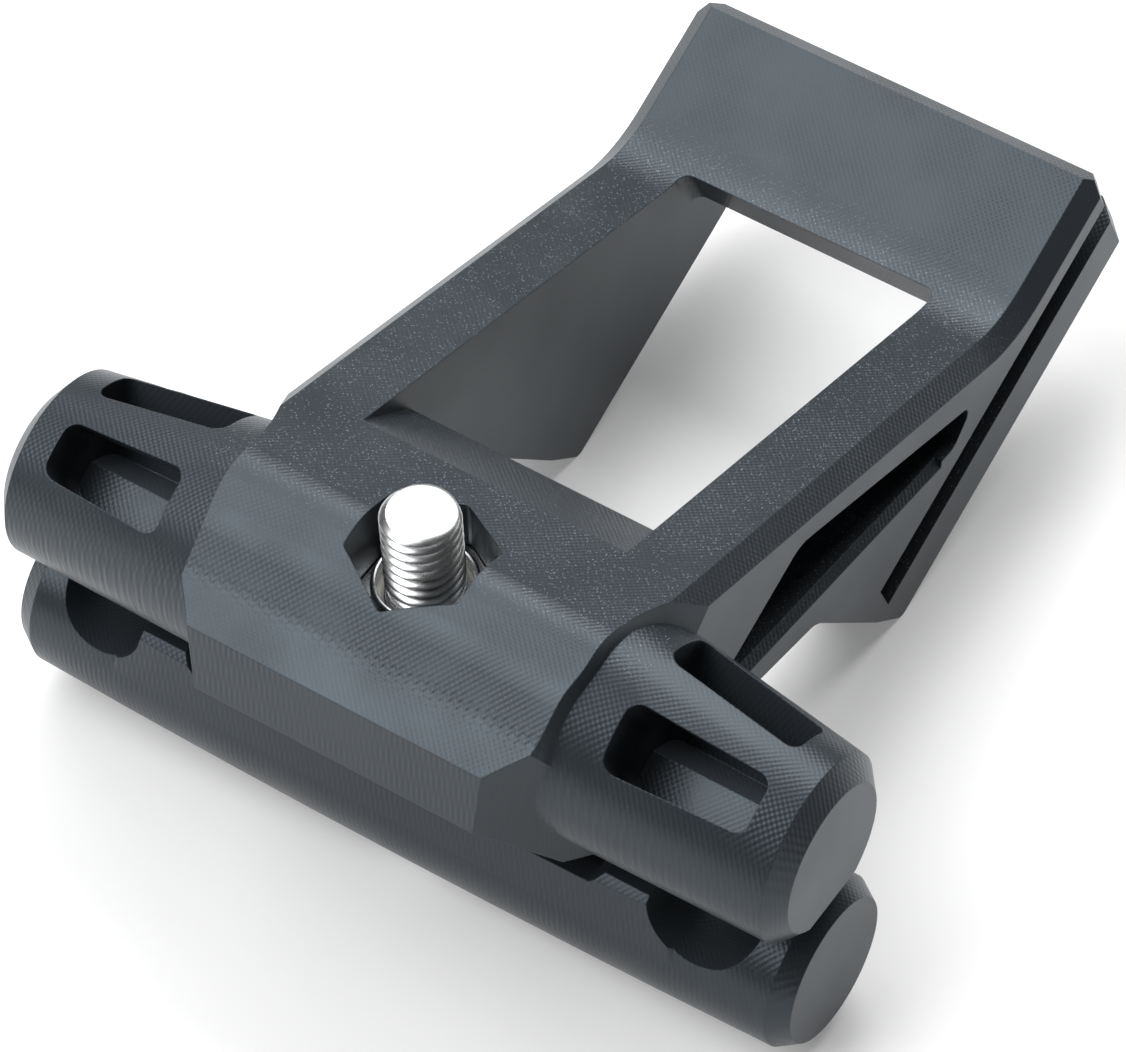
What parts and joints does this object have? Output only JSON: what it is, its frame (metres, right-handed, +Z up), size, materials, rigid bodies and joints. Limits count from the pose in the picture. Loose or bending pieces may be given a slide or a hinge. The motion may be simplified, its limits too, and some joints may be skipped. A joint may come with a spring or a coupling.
{
  "type": "saddle bag mount",
  "caption": "Milled aluminium clamp that grips two saddle rails and carries a slide-on bag bracket on a sloping plate with side slots",
  "frame": {"origin": "middle of the box round the object as it grips the rails", "axes": "X across the two saddle rails and along the clamp bar, Y along the rails from the clamp to the bag plate, Z up along the screw, whose tip points up"},
  "size_m": [0.0568, 0.0668, 0.0312],
  "materials": {
    "black_anodised": "satin black anodised, milled",
    "bright_steel": "bright",
    "nylon": "matte natural nylon"
  },
  "bodies": {
    "mount": {"main_body": "black_anodised", "lock_nut": "bright_steel", "nut_insert": "nylon"},
    "bar": {"clamp_bar": "black_anodised"},
    "bolt": {"clamp_bolt": "bright_steel"}
  },
  "joints": [
    {"name": "clamp_slide", "type": "slide", "parent": "mount", "child": "bar", "axis": [0, 0, 1], "range_m": [-0.0048, 0]},
    {"name": "bolt_turn", "type": "hinge", "parent": "bar", "child": "bolt", "pos_m": [0, -0.02311, -0.00936], "axis": [0, 0, 1], "range_deg": [-2170, 5]}
  ],
  "couplings": [
    {"joint": "bolt_turn", "follows": "clamp_slide", "rad_per_m": 7854}
  ]
}
